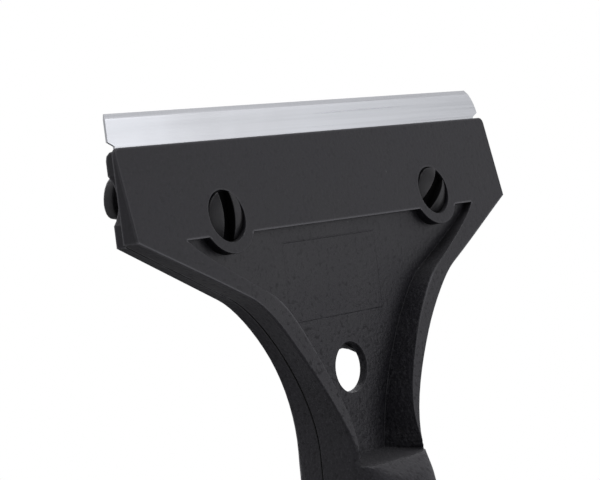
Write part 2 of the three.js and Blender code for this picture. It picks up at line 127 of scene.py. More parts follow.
def mixColor(tree, factor, a, b):
    return addNode(tree, "ShaderNodeMix", {0: factor, 6: a, 7: b}, data_type="RGBA").outputs[2]


def mixValue(tree, factor, a, b):
    return addNode(tree, "ShaderNodeMix", {0: factor, 2: a, 3: b}, data_type="FLOAT").outputs[0]


def place(tree):
    return addNode(tree, "ShaderNodeTexCoord").outputs["Object"]


def axes(tree):
    return addNode(tree, "ShaderNodeSeparateXYZ", {0: place(tree)}).outputs


def noise(tree, scale, detail, where=None):
    values = {"Vector": where or place(tree), "Scale": scale, "Detail": detail}
    return addNode(tree, "ShaderNodeTexNoise", values).outputs[0]


def newMaterial(name, metallic, gloss=0.5):
    material = bpy.data.materials.new(name)
    material.use_nodes = True
    tree = material.node_tree
    body = tree.nodes["Principled BSDF"]
    body.inputs["Metallic"].default_value = metallic
    body.inputs["Specular IOR Level"].default_value = gloss
    return material, tree, body


# Mesh helpers

def shadeSmooth(mesh):
    mesh.polygons.foreach_set("use_smooth", np.ones(len(mesh.polygons), dtype=bool))


def meshFrom(name, points, faces):
    mesh = bpy.data.meshes.new(name)
    mesh.from_pydata(points.reshape(-1, 3).tolist(), [], faces)
    mesh.update()
    shadeSmooth(mesh)
    piece = bpy.data.objects.new(name, mesh)
    bpy.context.collection.objects.link(piece)
    return piece


# Quads between the rows of a grid of points, closed round the columns and, if asked, round the rows
def gridFaces(rows, columns, closeRows=False, closeColumns=True):
    i = np.arange(rows if closeRows else rows - 1)[:, None]
    j = np.arange(columns if closeColumns else columns - 1)[None, :]
    a = i * columns + j
    b = i * columns + (j + 1) % columns
    c = ((i + 1) % rows) * columns + (j + 1) % columns
    d = ((i + 1) % rows) * columns + j
    return np.stack([a, b, c, d], axis=-1).reshape(-1, 4).tolist()


# Camera, lights and stage

cameraSet = {
    "place": (-0.28686, -0.22574, 0.18169),  # solved from the head's corners, holes and step line
    "right": (0.6222, -0.7724, -0.1280),
    "up": (0.0905, -0.0915, 0.9916),
    "focalPixels": 2163.3,  # focal length in picture pixels, for a picture 600 wide
    "pictureWidth": 600,
    "sensor": 36.0,
    "nearest": 0.01,
}


def makeCamera(s):
    data = bpy.data.cameras.new("camera")
    data.sensor_width = s["sensor"]
    data.lens = s["sensor"] * s["focalPixels"] / s["pictureWidth"]
    data.clip_start = s["nearest"]
    camera = bpy.data.objects.new("camera", data)
    right = Vector(s["right"]).normalized()
    up = Vector(s["up"])
    up = (up - right * up.dot(right)).normalized()
    back = right.cross(up)
    turn = Matrix((right, up, back)).transposed().to_4x4()
    camera.matrix_world = Matrix.Translation(Vector(s["place"])) @ turn
    bpy.context.collection.objects.link(camera)
    bpy.context.scene.camera = camera


lampColor = (0.965, 0.955, 1.0)
lightSet = {
    # name: place, aim, size, watts
    "key": ((0.54, -0.98, 0.10), (0.0, 0.0, 0.17), 0.9, 3.8),
    "top": ((0.15, 0.05, 1.1), (0.0, 0.0, 0.16), 0.9, 6.8),
    "rear": ((0.55, 1.0, 0.50), (0.0, 0.0, 0.15), 0.9, 6.5),
}


def makeLights(s):
    for name, (where, aim, size, watts) in s.items():
        data = bpy.data.lights.new(name, "AREA")
        data.shape = "DISK"
        data.size = size
        data.energy = watts
        data.color = lampColor
        lamp = bpy.data.objects.new(name, data)
        lamp.location = where
        lamp.rotation_euler = (Vector(aim) - Vector(where)).to_track_quat("-Z", "Y").to_euler()
        bpy.context.collection.objects.link(lamp)


# what glossy surfaces see runs from dim behind on the left to bright in front on the right
worldSet = {"fill": 0.46, "toward": (0.74, -0.58, 0.34), "awayMost": -0.9, "towardMost": 0.95,
            "dim": 0.78, "bright": 0.88, "color": (*lampColor, 1)}


def makeWorld(s):
    world = bpy.data.worlds.new("studio")
    bpy.context.scene.world = world
    world.use_nodes = True
    tree = world.node_tree
    tree.nodes.clear()
    ray = addNode(tree, "ShaderNodeLightPath").outputs
    way = addNode(tree, "ShaderNodeTexCoord").outputs["Generated"]
    facing = addNode(tree, "ShaderNodeVectorMath", {0: way, 1: Vector(s["toward"]).normalized()},
                     operation="DOT_PRODUCT").outputs["Value"]
    glow = remap(tree, facing, s["awayMost"], s["towardMost"], s["dim"], s["bright"])
    light = mixValue(tree, ray["Is Glossy Ray"], s["fill"], glow)
    seen = sums(tree, "MAXIMUM", ray["Is Camera Ray"], ray["Is Transmission Ray"])
    sky = addNode(tree, "ShaderNodeBackground", {"Color": mixColor(tree, seen, s["color"], white),
                                                 "Strength": mixValue(tree, seen, light, 1.0)})
    addNode(tree, "ShaderNodeOutputWorld", {0: sky.outputs[0]})


# the floor's colour for light bouncing onto the part is a painted shadow, dark under the part
floorSet = {"radius": 0.6, "core": 0.002, "rings": 24, "spokes": 96, "roughness": 0.8,
            "pale": (0.86, 0.86, 0.86, 1), "under": (0.14, 0.14, 0.14, 1),
            "around": (0.62, 0.62, 0.62, 1), "near": -0.03, "far": -0.17}


def makeFloor(s):
    # a disc: radius runs along one parameter, angle along the other
    r = np.linspace(s["core"], 1.0, s["rings"])[:, None] * s["radius"]
    a = np.linspace(0.0, 2 * np.pi, s["spokes"], endpoint=False)[None, :]
    points = np.stack([r * np.cos(a), r * np.sin(a), 0 * r * a], axis=-1)
    faces = gridFaces(s["rings"], s["spokes"]) + [list(range(s["spokes"]))]
    floor = meshFrom("floor", points, faces)
    material, tree, body = newMaterial("floor", 0.0)
    # pale to the eye; what lights the part from below is a painted shadow, dark under it and growing to pale
    # on its left
    grow = remap(tree, axes(tree)[0], s["near"], s["far"], 0.0, 1.0)
    shade = mixColor(tree, grow, s["under"], s["around"])
    eye = addNode(tree, "ShaderNodeLightPath").outputs["Is Camera Ray"]
    tree.links.new(mixColor(tree, eye, shade, s["pale"]), body.inputs["Base Color"])
    body.inputs["Roughness"].default_value = s["roughness"]
    floor.data.materials.append(material)


makeCamera(cameraSet)
makeLights(lightSet)
makeWorld(worldSet)
makeFloor(floorSet)
bpy.context.scene.view_settings.view_transform = "Standard"
print("stage: camera, light and floor")


# Shader groups

edgeSamples = 8

# Moulded grain: two sizes of noise, strong up to one height and faint above another
grainMake = {"fineDetail": 2.0, "coarser": 0.6, "coarseDetail": 3.0, "broad": 95.0, "broadDetail": 4.0,
             "fineShare": 0.45, "mottle": (0.34, 0.66), "sand": (0.57, 0.68), "pits": (0.43, 0.34),
             "patch": (0.36, 0.66)}


def makeMouldGrain(s):
    tree, given, put = newGroup(
        "mouldGrain",
        {"Grains per metre": 2400.0, "Coarse up to": 0.16, "Faint above": 0.18, "Faint share": 0.35},
        ["Height", "Mottle", "Patch", "Sand", "Pits"],
    )
    perMetre = given["Grains per metre"]
    fine = noise(tree, perMetre, s["fineDetail"])
    coarse = noise(tree, product(tree, perMetre, s["coarser"]), s["coarseDetail"])
    broad = noise(tree, s["broad"], s["broadDetail"])
    rough = remap(tree, axes(tree)[2], given["Coarse up to"], given["Faint above"],
                  1.0, given["Faint share"], "SMOOTHSTEP")
    found = {
        "Height": sums(tree, "ADD", product(tree, fine, s["fineShare"]), coarse),
        "Mottle": remap(tree, fine, *s["mottle"], 0.0, 1.0),
        "Sand": remap(tree, fine, *s["sand"], 0.0, 1.0),
        "Pits": remap(tree, coarse, *s["pits"], 0.0, 1.0),
    }
    for name, value in found.items():
        tree.links.new(product(tree, value, rough), put.inputs[name])
    tree.links.new(remap(tree, broad, *s["patch"], 0.0, 1.0), put.inputs["Patch"])
    return tree


# Rubbed edges and painted edge highlight: how much of the inward half space is open just under the surface,
# less on a ridge
def makeEdgeWearAndHighlight():
    tree, given, put = newGroup("rubbedEdge", {"Reach": 0.5 * mm, "From": 0.06, "To": 0.42}, ["Edge"])
    inward = addNode(tree, "ShaderNodeAmbientOcclusion", {"Distance": given["Reach"]}, inside=True,
                     only_local=True, samples=edgeSamples)
    shut = sums(tree, "SUBTRACT", 1.0, inward.outputs["AO"])
    edge = remap(tree, shut, given["From"], given["To"], 0.0, 1.0, "SMOOTHSTEP")
    tree.links.new(edge, put.inputs["Edge"])
    return tree


# Dust: small dots in some of the cells of a scatter, and a faint film that gathers in patches
dustMake = {"filmScale": 38.0, "filmDetail": 6.0, "film": (0.48, 0.72)}


def makeDustSpecks(s):
    tree, given, put = newGroup("dustSpecks", {"Cells per metre": 320.0, "Dot": 0.05, "Share": 0.25},
                                ["Speck", "Film"])
    cells = addNode(tree, "ShaderNodeTexVoronoi", {"Vector": place(tree), "Scale": given["Cells per metre"]})
    dot = sums(tree, "LESS_THAN", cells.outputs["Distance"], given["Dot"])
    chance = addNode(tree, "ShaderNodeSeparateColor", {0: cells.outputs["Color"]})
    picked = sums(tree, "LESS_THAN", chance.outputs[0], given["Share"])
    tree.links.new(product(tree, dot, picked), put.inputs["Speck"])
    film = remap(tree, noise(tree, s["filmScale"], s["filmDetail"]), *s["film"], 0.0, 1.0)
    tree.links.new(film, put.inputs["Film"])
    return tree


# Fine lines: noise stretched along one axis, in two widths given by scale and detail
lineMake = {"widths": {"Lines": (1.0, 3.0), "Bands": (0.12, 2.0)}, "level": (0.3, 0.7)}


def makeDrawnLines(s):
    tree, given, put = newGroup("drawnLines", {"Along X": 25.0, "Along Y": 900.0, "Along Z": 2600.0},
                                ["Lines", "Bands"])
    stretch = addNode(tree, "ShaderNodeCombineXYZ", {0: given["Along X"], 1: given["Along Y"],
                                                    2: given["Along Z"]})
    drawn = addNode(tree, "ShaderNodeVectorMath", {0: place(tree), 1: stretch.outputs[0]},
                    operation="MULTIPLY").outputs[0]
    for name, (scale, detail) in s["widths"].items():
        level = remap(tree, noise(tree, scale, detail, drawn), *s["level"], 0.0, 1.0)
        tree.links.new(level, put.inputs[name])
    return tree


mouldGrain = makeMouldGrain(grainMake)
rubbedEdge = makeEdgeWearAndHighlight()
dustSpecks = makeDustSpecks(dustMake)
drawnLines = makeDrawnLines(lineMake)


# bumps over a normal that rounds the edges by a radius
def setBump(tree, body, height, strength, distance, softEdge):
    soft = addNode(tree, "ShaderNodeBevel", {"Radius": softEdge}, samples=edgeSamples)
    bump = addNode(tree, "ShaderNodeBump", {"Height": height, "Strength": strength, "Distance": distance,
                                            "Normal": soft.outputs[0]})
    tree.links.new(bump.outputs[0], body.inputs["Normal"])


# Black moulded plastic with a sandy grain

handleFinish = {
    "gloss": 0.27,
    "dark": (0.0032, 0.0031, 0.0047, 1),
    "pale": (0.0112, 0.0109, 0.0142, 1),
    "rubbed": (0.085, 0.085, 0.09, 1),
    "sand": (0.029, 0.029, 0.032, 1),
    "pit": (0.0013, 0.0013, 0.0015, 1),
    # the dust colour also serves as painted light from above on upward faces
    "dust": (0.08, 0.08, 0.08, 1),
    "dustAndTopLight": 0.42,
    "roughness": (0.44, 0.56),
    "grain": {"Grains per metre": 2100.0, "Coarse up to": 0.150, "Faint above": 0.186, "Faint share": 0.3},
    "bump": 0.9,
    "bumpDepth": 0.16 * mm,
    "edgeReach": 0.5 * mm,
    "softEdge": 0.2 * mm,
}
nutFinish = {
    "gloss": 0.3,
    "dark": (0.0045, 0.0045, 0.0052, 1),
    "pale": (0.0082, 0.0082, 0.009, 1),
    "rubbed": (0.035, 0.035, 0.037, 1),
    "sand": (0.017, 0.017, 0.019, 1),
    "pit": (0.0018, 0.0018, 0.002, 1),
    "dust": (0.07, 0.07, 0.07, 1),
    "dustAndTopLight": 0.2,
    "roughness": (0.36, 0.5),
    "grain": {"Grains per metre": 3000.0, "Coarse up to": 0.30, "Faint above": 0.40, "Faint share": 1.0},
    "bump": 0.22,
    "bumpDepth": 0.04 * mm,
    "edgeReach": 0.5 * mm,
    "softEdge": 0.3 * mm,
}
# how much of each effect shows on both plastics
mouldShares = {"mottle": 0.6, "patch": 0.4, "pits": 0.55, "sand": 0.5, "wornAndHighlit": 0.85, "specks": 0.35,
               "specksGiven": {"Dot": 0.055, "Share": 0.16}, "levelFrom": 0.55, "levelTo": 0.95,
               "dustAndLightLeast": 0.02, "filmLeast": 0.55, "wornSmooth": 0.07, "pitsRough": 0.18}
# faint line left by the mould's insert round the bare middle of the panel
insertLine = {"middleX": -2.0 * mm, "middleZ": 170.4 * mm, "halfX": 12.4 * mm, "halfZ": 6.6 * mm,
              "width": 0.22 * mm, "nearY": -1.28 * mm, "farY": -2.2 * mm, "height": 0.3}
# painted shade in the joint of the two halves
partingSeam = {"near": 0.16 * mm, "far": 0.34 * mm, "below": 180.0 * mm, "patchTo": 0.5, "least": 0.45}
# edges rubbed, and lit by a painted highlight, mostly on the head
headWearAndHighlight = {"from": 150 * mm, "to": 172 * mm, "least": 0.12, "screwX": 28.3 * mm, "screwZ": 182.5 * mm,
            "screwNear": 4.6 * mm, "screwFar": 6.6 * mm, "screwLeast": 0.25, "shoulderZ": 156.7 * mm,
            "shoulderSlope": 2.14, "inner": -4.2 * mm, "outer": -2.4 * mm, "headFoot": 179.2 * mm}


# distance to a rectangle's outline as a thin ridge, only on the panel's face
def insertRidge(tree, s):
    x, y, z = axes(tree)
    offX = sums(tree, "ABSOLUTE", sums(tree, "SUBTRACT", x, s["middleX"]))
    offZ = sums(tree, "ABSOLUTE", sums(tree, "SUBTRACT", z, s["middleZ"]))
    outside = sums(tree, "MAXIMUM", sums(tree, "SUBTRACT", offX, s["halfX"]),
                   sums(tree, "SUBTRACT", offZ, s["halfZ"]))
    ridge = remap(tree, sums(tree, "ABSOLUTE", outside), 0.0, s["width"], 1.0, 0.0, "SMOOTHSTEP")
    return product(tree, ridge, sums(tree, "LESS_THAN", y, s["nearY"]),
                   sums(tree, "GREATER_THAN", y, s["farY"]))


# how far the rubbed edges and their painted highlight show: less low on the handle, near the screws and
# inside the shoulders
def wearAndHighlightShare(tree, s):
    x, _, z = axes(tree)
    across = sums(tree, "ABSOLUTE", x)
    fromScrew = span(tree, sums(tree, "SUBTRACT", across, s["screwX"]),
                     sums(tree, "SUBTRACT", z, s["screwZ"]))
    offScrew = remap(tree, fromScrew, s["screwNear"], s["screwFar"], s["screwLeast"], 1.0)
    shoulder = sums(tree, "MULTIPLY", sums(tree, "SUBTRACT", z, s["shoulderZ"]), s["shoulderSlope"])
    out = sums(tree, "SUBTRACT", across, shoulder)
    outer = sums(tree, "MAXIMUM", remap(tree, out, s["inner"], s["outer"], s["least"], 1.0),
                 sums(tree, "GREATER_THAN", z, s["headFoot"]))
    onHead = remap(tree, z, s["from"], s["to"], s["least"], 1.0, "SMOOTHSTEP")
    return product(tree, onHead, offScrew, outer)


# painted shade in the joint, thinner where the plastic's patches are dark
def paintedSeamShade(tree, s, patch):
    _, y, z = axes(tree)
    near = remap(tree, sums(tree, "ABSOLUTE", y), s["near"], s["far"], 1.0, 0.0, "SMOOTHSTEP")
    below = sums(tree, "LESS_THAN", z, s["below"])
    return product(tree, near, below, remap(tree, patch, 0.0, s["patchTo"], s["least"], 1.0))


# dust that settles where the surface looks up, in patches, together with a painted light from above on
# upward faces
def settledDustAndTopLight(tree, s, most, film):
    normal = addNode(tree, "ShaderNodeNewGeometry").outputs["Normal"]
    upward = addNode(tree, "ShaderNodeSeparateXYZ", {0: normal}).outputs[2]
    dustAndTopLight = remap(tree, upward, s["levelFrom"], s["levelTo"], s["dustAndLightLeast"], most, "SMOOTHSTEP")
    return product(tree, dustAndTopLight, remap(tree, film, 0.0, 1.0, s["filmLeast"], 1.0))


def mouldedPlastic(name, s, share, isHandle):
    material, tree, body = newMaterial(name, 0.0, s["gloss"])
    grain = useGroup(tree, mouldGrain, s["grain"])
    wornAndHighlit = useGroup(tree, rubbedEdge, {"Reach": s["edgeReach"]})["Edge"]
    dust = useGroup(tree, dustSpecks, share["specksGiven"])
    tone = blend(tree, grain["Mottle"], share["mottle"], grain["Patch"], share["patch"])
    color = mixColor(tree, tone, s["dark"], s["pale"])
    color = mixColor(tree, product(tree, grain["Pits"], share["pits"]), color, s["pit"])
    color = mixColor(tree, product(tree, grain["Sand"], share["sand"]), color, s["sand"])
    # upward faces painted lighter: settled dust and a painted light from above
    color = mixColor(tree, settledDustAndTopLight(tree, share, s["dustAndTopLight"], dust["Film"]), color, s["dust"])
    height = grain["Height"]
    if isHandle:
        seamShade = paintedSeamShade(tree, partingSeam, grain["Patch"])
        wornAndHighlit = product(tree, wornAndHighlit, wearAndHighlightShare(tree, headWearAndHighlight), sums(tree, "SUBTRACT", 1.0, seamShade))
        # the joint is painted dark as the shade in its groove
        color = mixColor(tree, seamShade, color, s["pit"])
        ridge = product(tree, insertRidge(tree, insertLine), insertLine["height"])
        height = sums(tree, "ADD", height, ridge)
    # convex edges painted lighter: partly rubbed wear, partly a painted highlight
    color = mixColor(tree, product(tree, wornAndHighlit, share["wornAndHighlit"]), color, s["rubbed"])
    color = mixColor(tree, product(tree, dust["Speck"], share["specks"]), color, s["dust"])
    tree.links.new(color, body.inputs["Base Color"])
    rough = remap(tree, tone, 0.0, 1.0, *s["roughness"])
    rough = sums(tree, "SUBTRACT", rough, product(tree, wornAndHighlit, share["wornSmooth"]))
    rough = sums(tree, "ADD", rough, product(tree, grain["Pits"], share["pitsRough"]))
    tree.links.new(rough, body.inputs["Roughness"])
    setBump(tree, body, height, s["bump"], s["bumpDepth"], s["softEdge"])
    return material


handlePlastic = mouldedPlastic("handlePlastic", handleFinish, mouldShares, True)
nutPlastic = mouldedPlastic("nutPlastic", nutFinish, mouldShares, False)


# Cold rolled strip steel, ground across along the cutting edge

steelFinish = {
    "dark": (0.375, 0.388, 0.395, 1),
    "pale": (0.45, 0.463, 0.47, 1),
    "ground": (0.50, 0.512, 0.52, 1),
    "stain": (0.25, 0.24, 0.225, 1),
    "roughness": (0.26, 0.38),
    "rolled": {"Along X": 22.0, "Along Y": 600.0, "Along Z": 2600.0},
    "grind": {"Along X": 5200.0, "Along Y": 900.0, "Along Z": 160.0},
    "specks": {"Cells per metre": 260.0, "Dot": 0.04, "Share": 0.12},
    "lineShare": 0.55,
    "bandShare": 0.45,
    "filmShare": 0.16,
    "speckShare": 0.5,
    "filmRough": 0.08,
    "groundFrom": 199.2 * mm,
    "groundSoft": 0.08 * mm,
    "bump": 0.25,
    "bumpDepth": 0.012 * mm,
    "softEdge": 0.04 * mm,
}


def rolledSteel(name, s):
    material, tree, body = newMaterial(name, 1.0)
    rolled = useGroup(tree, drawnLines, s["rolled"])
    grind = useGroup(tree, drawnLines, s["grind"])
    dust = useGroup(tree, dustSpecks, s["specks"])
    top = remap(tree, axes(tree)[2], s["groundFrom"] - s["groundSoft"], s["groundFrom"] + s["groundSoft"],
                0.0, 1.0)
    tone = blend(tree, rolled["Lines"], s["lineShare"], rolled["Bands"], s["bandShare"])
    color = mixColor(tree, tone, s["dark"], s["pale"])
    color = mixColor(tree, product(tree, dust["Film"], s["filmShare"]), color, s["stain"])
    color = mixColor(tree, product(tree, dust["Speck"], s["speckShare"]), color, s["stain"])
    bright = mixColor(tree, grind["Lines"], s["pale"], s["ground"])
    tree.links.new(mixColor(tree, top, color, bright), body.inputs["Base Color"])
    rough = remap(tree, rolled["Lines"], 0.0, 1.0, *s["roughness"])
    rough = sums(tree, "ADD", rough, product(tree, dust["Film"], s["filmRough"]))
    tree.links.new(rough, body.inputs["Roughness"])
    lines = mixValue(tree, top, rolled["Lines"], grind["Lines"])
    setBump(tree, body, lines, s["bump"], s["bumpDepth"], s["softEdge"])
    return material


bladeSteel = rolledSteel("bladeSteel", steelFinish)


# Turned metal: faint rings about the piece's own axis, bare metal where tools rub

screwFinish = {
    "dark": (0.0042, 0.0042, 0.0048, 1),
    "pale": (0.009, 0.009, 0.0098, 1),
    "bare": (0.055, 0.054, 0.053, 1),
    "roughness": (0.34, 0.48),
    "ringsPerMetre": 2600.0,
    "gloss": 0.18,
    "slotGloss": 0.05,
    "slotRough": 0.45,
    "slotSoft": 0.05 * mm,
    "slotShade": (0.0004, 0.0004, 0.0005, 1),
    "edgeReach": 0.3 * mm,
    "softEdge": 0.12 * mm,
}
zincFinish = {
    "dark": (0.40, 0.41, 0.42, 1),
    "pale": (0.56, 0.57, 0.58, 1),
    "bare": (0.66, 0.66, 0.66, 1),
    "roughness": (0.30, 0.46),
    "ringsPerMetre": 3400.0,
    "gloss": 0.5,
    "edgeReach": 0.2 * mm,
    "softEdge": 0.06 * mm,
}
brassFinish = {
    "dark": (0.42, 0.29, 0.11, 1),
    "pale": (0.60, 0.44, 0.19, 1),
    "bare": (0.70, 0.54, 0.27, 1),
    "roughness": (0.26, 0.42),
    "ringsPerMetre": 4200.0,
    "gloss": 0.5,
    "edgeReach": 0.2 * mm,
    "softEdge": 0.06 * mm,
}
# how much of each effect shows on every turned piece
turnedShares = {"blots": 900.0, "blotDetail": 4.0, "blotRange": (0.35, 0.65), "blotTone": 0.8,
                "ringTone": 0.1, "wornAndHighlit": 0.9, "specks": 0.3,
                "specksGiven": {"Cells per metre": 420.0, "Dot": 0.05, "Share": 0.12},
                "ringBump": 0.25, "bump": 0.2, "bumpDepth": 0.02 * mm}


# distance from the axis makes the rings, noise breaks them up; a slot is the strip on both sides of
# its middle plane, painted dark as the shade inside it, and dull
def turnedMetal(name, s, share, center, metallic, slot=None):
    material, tree, body = newMaterial(name, metallic, s["gloss"])
    x, y, z = axes(tree)
    dx = sums(tree, "SUBTRACT", x, center[0])
    dz = sums(tree, "SUBTRACT", z, center[1])
    turns = product(tree, span(tree, dx, dz), s["ringsPerMetre"] * 2 * math.pi)
    rings = sums(tree, "SINE", turns)
    blot = noise(tree, share["blots"], share["blotDetail"])
    edge = useGroup(tree, rubbedEdge, {"Reach": s["edgeReach"]})["Edge"]
    dust = useGroup(tree, dustSpecks, share["specksGiven"])
    tone = sums(tree, "ADD", remap(tree, blot, *share["blotRange"], 0.0, share["blotTone"]),
                product(tree, rings, share["ringTone"]), True)
    color = mixColor(tree, tone, s["dark"], s["pale"])
    color = mixColor(tree, product(tree, edge, blot, share["wornAndHighlit"]), color, s["bare"])
    color = mixColor(tree, product(tree, dust["Speck"], share["specks"]), color, s["bare"])
    rough = remap(tree, tone, 0.0, 1.0, *s["roughness"])
    if slot:
        turn, half, seat = slot
        away = sums(tree, "SUBTRACT", product(tree, dz, math.cos(turn)), product(tree, dx, math.sin(turn)))
        inStrip = remap(tree, sums(tree, "ABSOLUTE", away), half, half + s["slotSoft"], 1.0, 0.0)
        inSlot = product(tree, inStrip, sums(tree, "LESS_THAN", y, seat))
        # the slot is painted almost black as the shade inside it
        color = mixColor(tree, inSlot, color, s["slotShade"])
        rough = sums(tree, "ADD", rough, product(tree, inSlot, s["slotRough"]), True)
        gloss = remap(tree, inSlot, 0.0, 1.0, s["gloss"], s["slotGloss"])
        tree.links.new(gloss, body.inputs["Specular IOR Level"])
    tree.links.new(color, body.inputs["Base Color"])
    tree.links.new(rough, body.inputs["Roughness"])
    height = sums(tree, "ADD", product(tree, rings, share["ringBump"]), blot)
    setBump(tree, body, height, share["bump"], share["bumpDepth"], s["softEdge"])
    return material


print("stage: materials")


def ridePiece(piece, node):
    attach(piece, body_of(frame["nodes"][node])[0])
    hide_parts(node)


# Moulded pieces: a merged copy of the solid, crisp only where two faces meet at a real edge

# the angle between the two faces of each edge
def faceAngles(mesh):
    edgeOf = np.empty(len(mesh.loops), dtype=np.int32)
    mesh.loops.foreach_get("edge_index", edgeOf)
    totals = np.empty(len(mesh.polygons), dtype=np.int32)
    mesh.polygons.foreach_get("loop_total", totals)
    normals = np.empty(len(mesh.polygons) * 3)
    mesh.polygons.foreach_get("normal", normals)
    faceOf = np.repeat(np.arange(len(mesh.polygons)), totals)
    pairs = faceOf[np.argsort(edgeOf, kind="stable")].reshape(-1, 2)
    first, second = normals.reshape(-1, 3)[pairs.T]
    return np.degrees(np.arccos(np.clip(np.einsum("ij,ij->i", first, second), -1, 1)))


def edgeMiddles(mesh):
    ends = np.empty(len(mesh.edges) * 2, dtype=np.int32)
    mesh.edges.foreach_get("vertices", ends)
    points = np.empty(len(mesh.vertices) * 3)
    mesh.vertices.foreach_get("co", points)
    return points.reshape(-1, 3)[ends.reshape(-1, 2)].mean(axis=1)


# points along the recess's inner edge are trued to one curve of half width over height
def trueEdge(solid, s):
    for point in solid.verts:
        x, y, z = point.co / mm
        if s["deepest"] < y < s["shallowest"] and s["heights"][0] < z < s["heights"][-1]:
            reach = np.interp(z, s["heights"], s["reach"])
            if abs(abs(x) - reach) < s["near"]:
                point.co.x = math.copysign(reach, x) * mm


# the inner rim of the flat that meets the other half is brought up to it, so the joint stays a groove
# on the outside but lets no light through; a rim is inner where the walls beside it face the middle
def closeSeam(solid, s):
    solid.normal_update()
    for point in solid.verts:
        if abs(point.co.y - s["flat"]) < s["within"]:
            away = sum(face.normal.x for face in point.link_faces if abs(face.normal.y) < s["wall"])
            if away * point.co.x < 0:
                point.co.y = s["grip"] if point.co.z < s["gripTop"] else s["neck"]


moulding = {"merge": 0.002 * mm, "level": math.radians(0.3)}


def mouldedCopy(node, name, s, material):
    mesh = bpy.data.meshes.new(name)
    solid = bmesh.new()
    solid.from_mesh(frame["nodes"][node].data)
    bmesh.ops.remove_doubles(solid, verts=solid.verts, dist=moulding["merge"])
    if "edge" in s:
        trueEdge(solid, s["edge"])
    if "seam" in s:
        closeSeam(solid, s["seam"])
    bmesh.ops.dissolve_limit(solid, angle_limit=moulding["level"], verts=solid.verts, edges=solid.edges)
    solid.to_mesh(mesh)
    solid.free()
    mesh.materials.append(material)
    shadeSmooth(mesh)
    middles = edgeMiddles(mesh)
    limit = np.full(len(middles), s["sharpest"], dtype=float)
    if "soft" in s:
        low, high, sharpest = s["soft"]
        limit[np.all((middles > np.array(low) * mm) & (middles < np.array(high) * mm), axis=1)] = sharpest
    crisp = faceAngles(mesh) > limit
    mesh.attributes.new("sharp_edge", "BOOLEAN", "EDGE").data.foreach_set("value", crisp)
    piece = bpy.data.objects.new(name, mesh)
    bpy.context.collection.objects.link(piece)
    even = piece.modifiers.new("even", "WEIGHTED_NORMAL")
    even.keep_sharp = True
    ridePiece(piece, node)


recessEdge = {"heights": [139.6, 140.45, 141.2, 142.0, 142.7, 143.45, 144.2, 146.03, 148.11, 150.2],
              "reach": [9.05, 8.88, 8.72, 8.57, 8.49, 8.44, 8.43, 8.62, 9.14, 9.88],
              "near": 0.2, "deepest": -7.75, "shallowest": -6.2}
frontSeam = {"flat": -0.1 * mm, "grip": -0.01 * mm, "neck": -0.1 * mm, "gripTop": 134 * mm,
             "within": 0.001 * mm, "wall": 0.9}
rearSeam = {**frontSeam, "flat": 0.1 * mm, "grip": 0.01 * mm, "neck": -0.09 * mm}
# in the soft box the swept walls of the recess turn quickly but are still one face
frontHalf = {"sharpest": 28, "soft": ((-13, -14, 133), (13, -1.6, 150), 70), "edge": recessEdge,
             "seam": frontSeam}
rearHalf = {"sharpest": 30, "seam": rearSeam}
wingNut = {"sharpest": 36}

mouldedCopy("front_handle", "front_half_shell", frontHalf, handlePlastic)
mouldedCopy("rear_handle", "rear_half_shell", rearHalf, handlePlastic)
for side in ("left", "right"):
    mouldedCopy(side + "_wing_nut", side + "_wing_nut_body", wingNut, nutPlastic)
print("stage: handle halves and wing nuts")


# A surface given as a grid of points, closed and with its faces turned outwards
def addSurface(name, points, faces, material, sharpAngle, merge=0.0005 * mm):
    piece = meshFrom(name, points, faces)
    mesh = piece.data
    solid = bmesh.new()
    solid.from_mesh(mesh)
    bmesh.ops.remove_doubles(solid, verts=solid.verts, dist=merge)
    bmesh.ops.dissolve_degenerate(solid, edges=solid.edges, dist=merge)
    bmesh.ops.recalc_face_normals(solid, faces=solid.faces)
    solid.to_mesh(mesh)
    solid.free()
    shadeSmooth(mesh)
    mesh.set_sharp_from_angle(angle=math.radians(sharpAngle))
    mesh.materials.append(material)
    return piece


# Blade: its section's loop (depth, height) is carried from the left end to the right end, and both
# ends are functions of height: straight, notched in the middle, one corner of each edge rounded off

bladeShape = {"front": 0.0, "back": 0.4, "foot": 185.55, "top": 200.05, "half": 49.7, "shift": -0.57,
              "shoulder": 4.3, "notch": 1.4, "notchDrop": 0.7, "corner": 3.0, "bulge": 0.9,
              "bevel": 0.8, "edge": 0.06, "footTrim": 1.0, "columns": 60, "cornerSteps": 14,
              "bevelSteps": 5, "slack": 0.01, "digits": 4, "sharp": 20}


def bladeEnd(s, rise):
    top = (s["top"] - s["foot"]) / 2
    wide = top - s["shoulder"]
    t = np.linspace(0, 1, s["cornerSteps"])
    foot = np.array([s["half"], wide])
    tip = np.array([s["half"] - s["corner"], top])
    chord = tip - foot
    out = np.array([chord[1], -chord[0]]) / np.linalg.norm(chord) * s["bulge"]
    bend = (foot + tip) / 2 + out
    curve = np.outer((1 - t) ** 2, foot) + np.outer(2 * t * (1 - t), bend) + np.outer(t ** 2, tip)
    inner = s["half"] - s["notch"]
    heights = np.concatenate([[-top, -wide, s["notchDrop"] - wide, wide - s["notchDrop"]], curve[:, 1]])
    reach = np.concatenate([[s["half"], s["half"], inner, inner], curve[:, 0]])
    return np.interp(rise, heights, reach), heights


